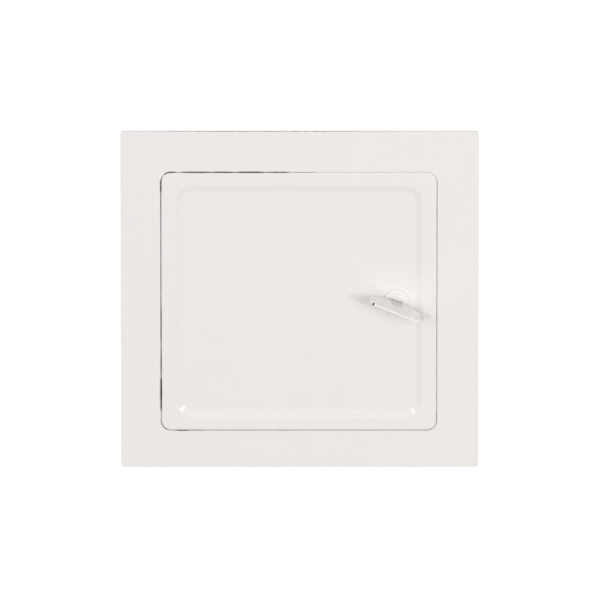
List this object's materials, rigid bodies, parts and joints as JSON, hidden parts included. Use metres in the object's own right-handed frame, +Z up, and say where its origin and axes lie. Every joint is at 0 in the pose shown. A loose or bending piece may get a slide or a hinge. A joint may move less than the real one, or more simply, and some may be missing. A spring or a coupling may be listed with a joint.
{
  "type": "chimney cleanout door",
  "caption": "White sheet-steel chimney cleanout door: a flat front plate on a wall sleeve, with a flush pressed door on hidden pivots and a quarter-turn latch worked by a loose wing key.",
  "frame": {"origin": "centre of the door opening, on the wall plane, which is the front plate's rear face", "axes": "+X to the right seen from the room, +Y into the wall, +Z up"},
  "size_m": [0.2002, 0.0783, 0.1998],
  "materials": {
    "white_enamel": "satin to gloss white stove enamel",
    "key_enamel": "white enamel, chipped at one shoulder",
    "sleeve_sheet": "galvanised sheet",
    "anchor_strip": "bare hot rolled strip",
    "zinc_hardware": "bright zinc plate",
    "latch_steel": "plain bright steel",
    "shield_sheet": "plain sheet, lightly sooted",
    "mineral_board": "pressed mineral fibre",
    "fibre_rope": "flat braided glass fibre"
  },
  "bodies": {
    "frame": {"front_plate": "white_enamel", "wall_sleeve": "sleeve_sheet", "anchor_upper_left": "anchor_strip", "anchor_lower_left": "anchor_strip", "anchor_upper_right": "anchor_strip", "anchor_lower_right": "anchor_strip", "anchor_rivets": "zinc_hardware", "stop_strip_top": "sleeve_sheet", "stop_strip_bottom": "sleeve_sheet", "stop_strip_right": "sleeve_sheet", "draught_strip_left": "sleeve_sheet", "seal_rope": "fibre_rope", "hinge_pin_upper": "zinc_hardware", "hinge_pin_lower": "zinc_hardware", "hinge_washer_upper": "zinc_hardware", "hinge_washer_lower": "zinc_hardware"},
    "door": {"door_panel": "white_enamel", "pivot_plate_upper": "shield_sheet", "pivot_plate_lower": "shield_sheet", "insulation_board": "mineral_board", "heat_shield": "shield_sheet", "weld_studs": "zinc_hardware", "stud_washers": "zinc_hardware", "stud_nuts": "zinc_hardware", "lock_bush": "white_enamel", "tongue_stop": "zinc_hardware", "lock_nut": "zinc_hardware"},
    "latch": {"lock_spindle": "latch_steel", "spring_washer": "latch_steel", "latch_tongue": "latch_steel", "tongue_nut": "zinc_hardware"},
    "key": {"key_socket": "key_enamel", "key_wing": "key_enamel"}
  },
  "joints": [
    {"name": "door_hinge", "type": "hinge", "parent": "frame", "child": "door", "pos_m": [-0.06475, 0.0035, 0], "axis": [0, 0, -1], "range_deg": [0, 110]},
    {"name": "latch_turn", "type": "hinge", "parent": "door", "child": "latch", "pos_m": [0.0546, 0, 0], "axis": [0, -1, 0], "range_deg": [0, 111.5]},
    {"name": "key_pull", "type": "slide", "parent": "latch", "child": "key", "axis": [0, -1, 0], "range_m": [0, 0.0063]}
  ]
}
